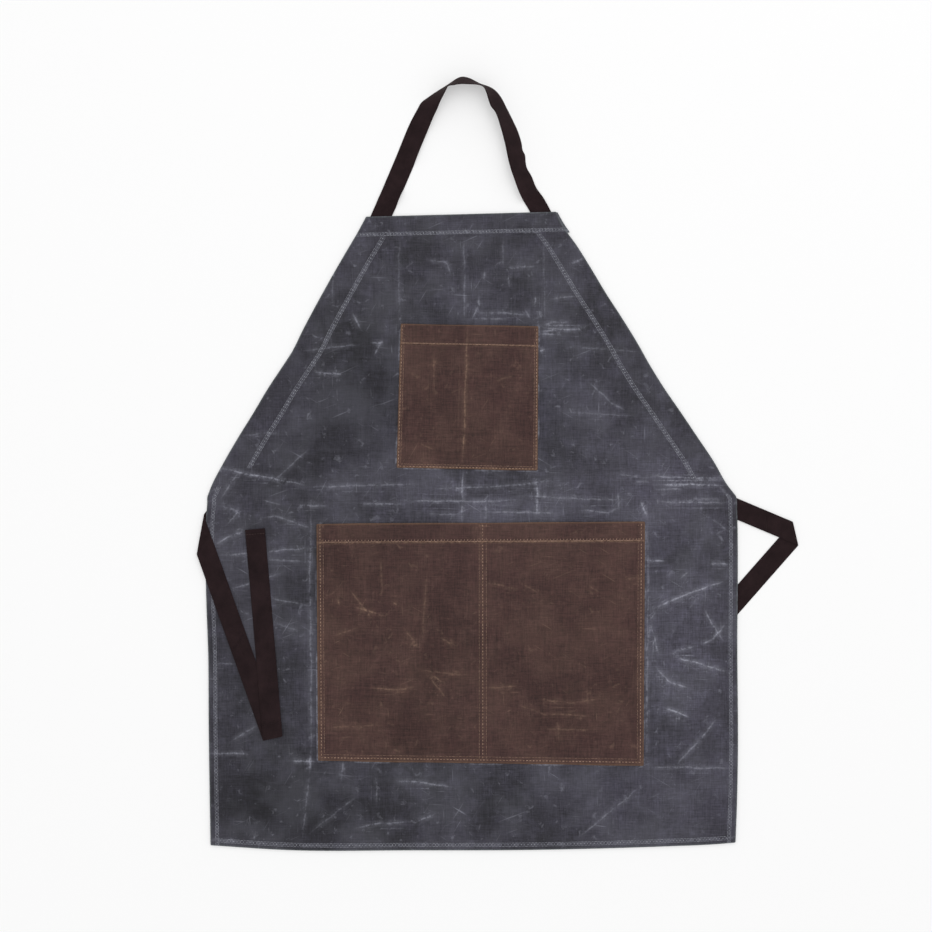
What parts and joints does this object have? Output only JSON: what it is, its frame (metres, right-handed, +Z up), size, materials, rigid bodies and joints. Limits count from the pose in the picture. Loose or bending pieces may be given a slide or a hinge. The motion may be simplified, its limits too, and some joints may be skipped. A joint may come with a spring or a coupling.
{
  "type": "butcher apron",
  "caption": "Bib apron of waxed canvas lying flat, with a neck loop, waist ties, a chest pocket and a divided lower pocket.",
  "frame": {"origin": "middle of the bottom of the whole apron's bounding box, on the surface that it lies on", "axes": "+X to the right across the apron, +Y from the skirt towards the neck loop, +Z up out of the front"},
  "size_m": [0.78, 1.0052, 0.0241],
  "materials": {
    "charcoal_canvas": "matte",
    "brown_canvas": "matte",
    "cotton_tape": "matte",
    "pale_thread": "matte",
    "tan_thread": "matte"
  },
  "bodies": {
    "skirt": {"skirt_panel": "charcoal_canvas", "bottom_hem": "charcoal_canvas", "side_hem_left": "charcoal_canvas", "side_hem_right": "charcoal_canvas", "bottom_hem_stitching": "pale_thread", "side_left_stitching": "pale_thread", "side_right_stitching": "pale_thread", "lower_pocket": "brown_canvas", "lower_pocket_band": "brown_canvas", "lower_pocket_stitching": "tan_thread", "lower_pocket_band_stitching": "tan_thread", "lower_pocket_divider_stitching": "tan_thread", "left_tie_root": "cotton_tape", "right_tie_root": "cotton_tape"},
    "bib": {"bib_panel": "charcoal_canvas", "top_hem": "charcoal_canvas", "bib_facing_left": "charcoal_canvas", "bib_facing_right": "charcoal_canvas", "top_hem_stitching": "pale_thread", "bib_left_stitching": "pale_thread", "bib_right_stitching": "pale_thread", "chest_pocket": "brown_canvas", "chest_pocket_band": "brown_canvas", "chest_pocket_stitching": "tan_thread", "chest_pocket_band_stitching": "tan_thread", "neck_strap_end_left": "cotton_tape", "neck_strap_end_right": "cotton_tape"},
    "neck_loop": {"neck_strap": "cotton_tape"},
    "left_tie_middle": {"left_tie_middle": "cotton_tape"},
    "left_tie_end": {"left_tie_end": "cotton_tape", "left_tie_end_hem": "cotton_tape", "left_tie_end_stitching": "cotton_tape"},
    "right_tie_middle": {"right_tie_middle": "cotton_tape"},
    "right_tie_end": {"right_tie_end": "cotton_tape", "right_tie_end_hem": "cotton_tape", "right_tie_end_stitching": "cotton_tape"}
  },
  "joints": [
    {"name": "bib_fold", "type": "hinge", "parent": "skirt", "child": "bib", "pos_m": [-0.03074, -0.04564, 0.003], "axis": [1, 0, 0], "range_deg": [0, 150]},
    {"name": "neck_strap_swing", "type": "hinge", "parent": "bib", "child": "neck_loop", "pos_m": [-0.04448, 0.32396, 0.0015], "axis": [0.9997, 0.0261, 0], "range_deg": [-100, 100]},
    {"name": "left_tie_swing", "type": "hinge", "parent": "skirt", "child": "left_tie_middle", "pos_m": [-0.38564, -0.09354, 0.00275], "axis": [-0.1788, -0.9839, 0], "range_deg": [0, 180]},
    {"name": "left_tie_fold", "type": "hinge", "parent": "left_tie_middle", "child": "left_tie_end", "pos_m": [-0.29087, -0.35967, 0.00455], "axis": [0.9772, 0.2122, 0], "range_deg": [0, 180]},
    {"name": "right_tie_swing", "type": "hinge", "parent": "skirt", "child": "right_tie_middle", "pos_m": [0.31286, -0.06125, 0.00275], "axis": [0, 1, 0], "range_deg": [-180, 0]},
    {"name": "right_tie_fold", "type": "hinge", "parent": "right_tie_middle", "child": "right_tie_end", "pos_m": [0.38673, -0.0923, 0.00095], "axis": [0.2241, -0.9746, 0], "range_deg": [0, 180]}
  ]
}
